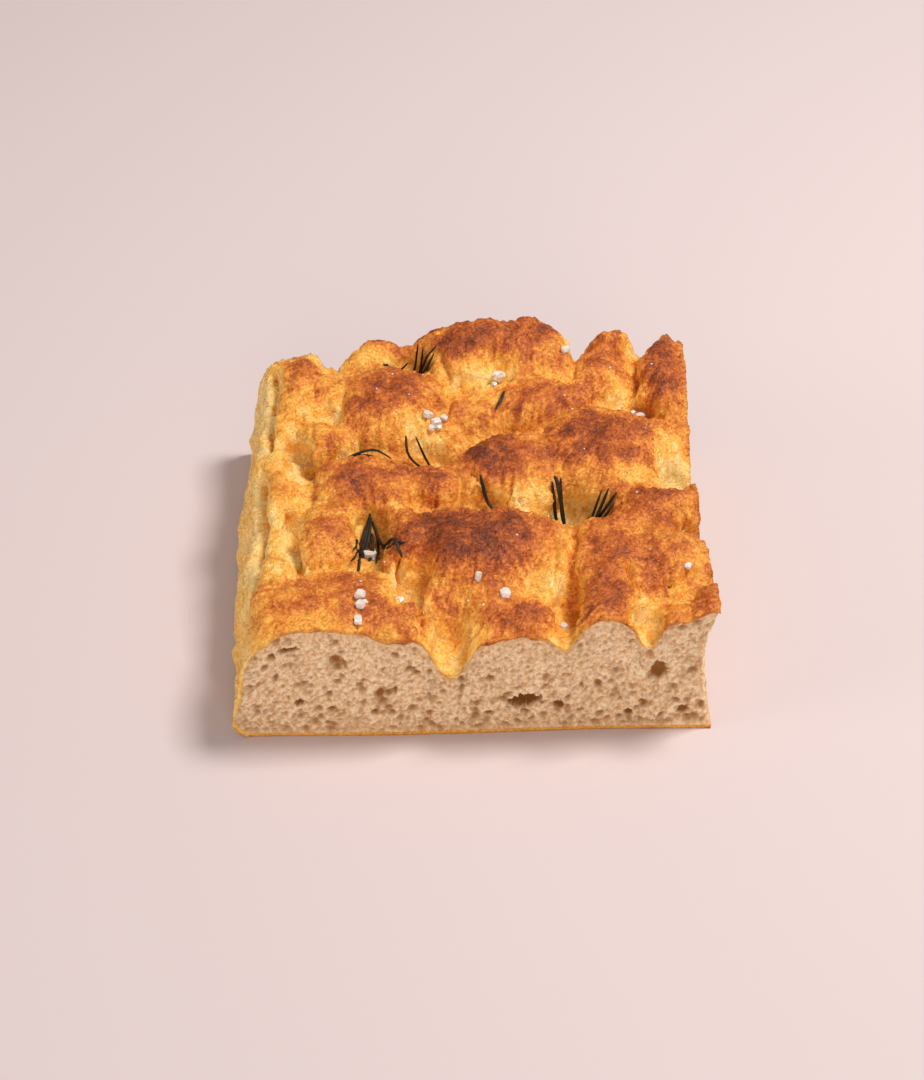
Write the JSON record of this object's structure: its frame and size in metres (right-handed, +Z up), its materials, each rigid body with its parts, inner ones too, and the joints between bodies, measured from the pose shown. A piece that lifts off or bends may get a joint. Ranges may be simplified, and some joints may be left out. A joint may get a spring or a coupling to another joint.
{
  "type": "focaccia",
  "caption": "Square slice of dimpled, golden-brown focaccia with rosemary and coarse salt, baked along its left edge and knife-cut on the other sides.",
  "frame": {"origin": "middle of the bounding box's underside, on the surface the slice rests on", "axes": "+Z up through the thickness; -Y towards the front knife cut; -X towards the slab's baked edge"},
  "size_m": [0.1436, 0.1396, 0.0535],
  "materials": {
    "crust": "baked, dull with a trace of oil",
    "crumb": "open, matt and porous",
    "rosemary": "dried, dull",
    "salt": "cloudy crystal"
  },
  "bodies": {
    "root": {"focaccia": "crust"}
  },
  "joints": []
}
